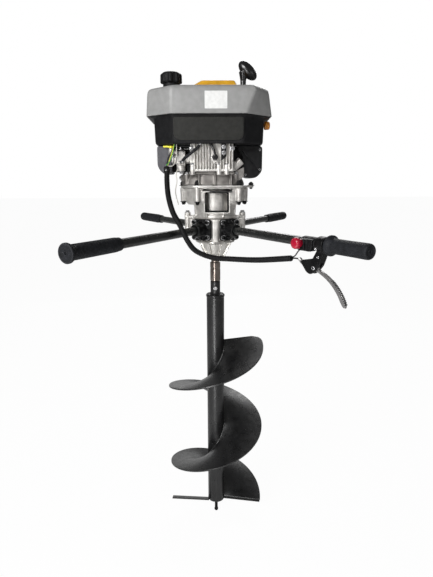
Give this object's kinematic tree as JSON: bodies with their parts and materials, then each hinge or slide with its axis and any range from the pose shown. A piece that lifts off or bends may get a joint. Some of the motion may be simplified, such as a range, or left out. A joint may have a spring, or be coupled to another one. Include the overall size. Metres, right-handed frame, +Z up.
{
  "type": "petrol ice auger",
  "caption": "Petrol auger with a wide spiral drilling bit, vertical-shaft engine under a faceted cover, planetary gearbox and four straight handlebars with throttle lever.",
  "frame": {"origin": "tip of the pilot point, on the drilling axis", "axes": "+Z up along the drilling axis to the engine; -Y to the front, where the throttle lever handlebars are; +X to the right seen from the front"},
  "size_m": [0.5974, 1.0282, 1.4259],
  "materials": {
    "bit_paint": "worn satin black paint",
    "bar_paint": "satin black powder coat",
    "black_casting": "black painted casting",
    "cast_aluminium": "die cast, bead blasted",
    "dark_aluminium": "sand cast, darker",
    "steel": "turned steel",
    "bright_steel": "zinc plated",
    "cover_grey": "moulded, fine grain",
    "cowl_black": "moulded, fine grain",
    "gloss_black": "glossy",
    "accent_orange": "moulded",
    "button_red": "semi gloss",
    "lever_yellow": "moulded",
    "grip_rubber": "soft rubber",
    "conduit_black": "corrugated split conduit",
    "tank_plastic": "translucent white polyethylene"
  },
  "bodies": {
    "engine_frame": {"output_bearing": "steel", "input_bearing": "steel", "ring_gear": "steel", "gearbox_housing": "cast_aluminium", "bell_housing": "cast_aluminium", "engine_flange": "cast_aluminium", "crankcase": "dark_aluminium", "cylinder_block": "cast_aluminium", "cylinder_head": "cast_aluminium", "spark_plug": "bright_steel", "spark_plug_lead": "grip_rubber", "air_filter_housing": "cowl_black", "carburettor": "cast_aluminium", "fuel_hose": "grip_rubber", "exhaust_elbow": "cast_aluminium", "muffler": "black_casting", "muffler_guard": "black_casting", "top_cover": "cover_grey", "lower_cowl": "cowl_black", "cover_insert": "accent_orange", "fuel_tank": "tank_plastic", "control_harness": "conduit_black", "switch_housing": "cowl_black", "lever_clamp": "black_casting", "cable_adjuster": "bright_steel", "handle_bracket_front_left": "black_casting", "handle_bar_front_left": "bar_paint", "grip_front_left": "grip_rubber", "handle_bracket_front_right": "black_casting", "handle_bar_front_right": "bar_paint", "grip_front_right": "grip_rubber", "handle_bracket_rear_left": "black_casting", "handle_bar_rear_left": "bar_paint", "grip_rear_left": "grip_rubber", "handle_bracket_rear_right": "black_casting", "handle_bar_rear_right": "bar_paint", "grip_rear_right": "grip_rubber"},
    "bit": {"output_shaft": "steel", "drive_pin": "bright_steel", "bit_tube": "bit_paint", "bit_flight": "bit_paint", "cutter_blade_right": "bit_paint", "cutter_blade_left": "bit_paint", "pilot_point": "bit_paint"},
    "planet_1": {"planet_gear_1": "steel"},
    "planet_2": {"planet_gear_2": "steel"},
    "planet_3": {"planet_gear_3": "steel"},
    "clutch_drum": {"clutch_drum": "steel"},
    "crankshaft": {"crankshaft": "steel", "flywheel": "dark_aluminium", "clutch_shoes": "dark_aluminium"},
    "piston": {"piston": "dark_aluminium"},
    "throttle_lever": {"throttle_lever": "bright_steel"},
    "throttle_arm": {"throttle_arm": "bright_steel"},
    "kill_button": {"kill_button": "button_red"},
    "fuel_valve": {"fuel_valve_lever": "lever_yellow"},
    "fuel_cap": {"fuel_cap": "cowl_black"},
    "recoil_handle": {"recoil_handle": "gloss_black"},
    "starter_pulley": {"starter_pulley": "cowl_black"},
    "choke_knob": {"choke_knob": "accent_orange"}
  },
  "joints": [
    {"name": "bit_spin", "type": "hinge", "parent": "engine_frame", "child": "bit", "pos_m": [0, 0, 0.9], "axis": [0, 0, -1], "continuous": true},
    {"name": "planet_1_spin", "type": "hinge", "parent": "bit", "child": "planet_1", "pos_m": [0.0225, 0, 0.992], "axis": [0, 0, -1], "continuous": true},
    {"name": "planet_2_spin", "type": "hinge", "parent": "bit", "child": "planet_2", "pos_m": [-0.01125, 0.01949, 0.992], "axis": [0, 0, -1], "continuous": true},
    {"name": "planet_3_spin", "type": "hinge", "parent": "bit", "child": "planet_3", "pos_m": [-0.01125, -0.01949, 0.992], "axis": [0, 0, -1], "continuous": true},
    {"name": "clutch_drum_spin", "type": "hinge", "parent": "engine_frame", "child": "clutch_drum", "pos_m": [0, 0, 1.01], "axis": [0, 0, -1], "continuous": true},
    {"name": "crankshaft_spin", "type": "hinge", "parent": "engine_frame", "child": "crankshaft", "pos_m": [0, 0, 1.15], "axis": [0, 0, -1], "continuous": true},
    {"name": "piston_stroke", "type": "slide", "parent": "engine_frame", "child": "piston", "axis": [0, 1, 0], "range_m": [-0.013, 0.013]},
    {"name": "throttle_squeeze", "type": "hinge", "parent": "engine_frame", "child": "throttle_lever", "pos_m": [0.21419, -0.38091, 0.924], "axis": [-0.8716, -0.4901, 0], "range_deg": [0, 30]},
    {"name": "throttle_arm_turn", "type": "hinge", "parent": "engine_frame", "child": "throttle_arm", "pos_m": [-0.093, -0.052, 1.193], "axis": [0, 0, 1], "range_deg": [0, 60]},
    {"name": "kill_button_press", "type": "slide", "parent": "engine_frame", "child": "kill_button", "axis": [0.8716, 0.4901, 0], "range_m": [0, 0.004]},
    {"name": "fuel_valve_turn", "type": "hinge", "parent": "engine_frame", "child": "fuel_valve", "pos_m": [-0.117, -0.082, 1.198], "axis": [0, 0, 1], "range_deg": [0, 90]},
    {"name": "fuel_cap_turn", "type": "hinge", "parent": "engine_frame", "child": "fuel_cap", "pos_m": [-0.116, -0.035, 1.37], "axis": [0, 0, 1], "range_deg": [0, 180]},
    {"name": "recoil_pull", "type": "slide", "parent": "engine_frame", "child": "recoil_handle", "axis": [0, 0, 1], "range_m": [0, 0.6]},
    {"name": "starter_pulley_spin", "type": "hinge", "parent": "engine_frame", "child": "starter_pulley", "pos_m": [0, 0, 1.26], "axis": [0, 0, -1], "range_deg": [0, 1020]},
    {"name": "choke_pull", "type": "slide", "parent": "engine_frame", "child": "choke_knob", "axis": [1, 0, 0], "range_m": [0, 0.012]}
  ],
  "couplings": [
    {"joint": "planet_1_spin", "follows": "bit_spin", "ratio": -2.5},
    {"joint": "planet_2_spin", "follows": "bit_spin", "ratio": -2.5},
    {"joint": "planet_3_spin", "follows": "bit_spin", "ratio": -2.5},
    {"joint": "clutch_drum_spin", "follows": "bit_spin", "ratio": 6},
    {"joint": "throttle_arm_turn", "follows": "throttle_squeeze", "ratio": 2},
    {"joint": "starter_pulley_spin", "follows": "recoil_pull", "rad_per_m": 29.412}
  ]
}
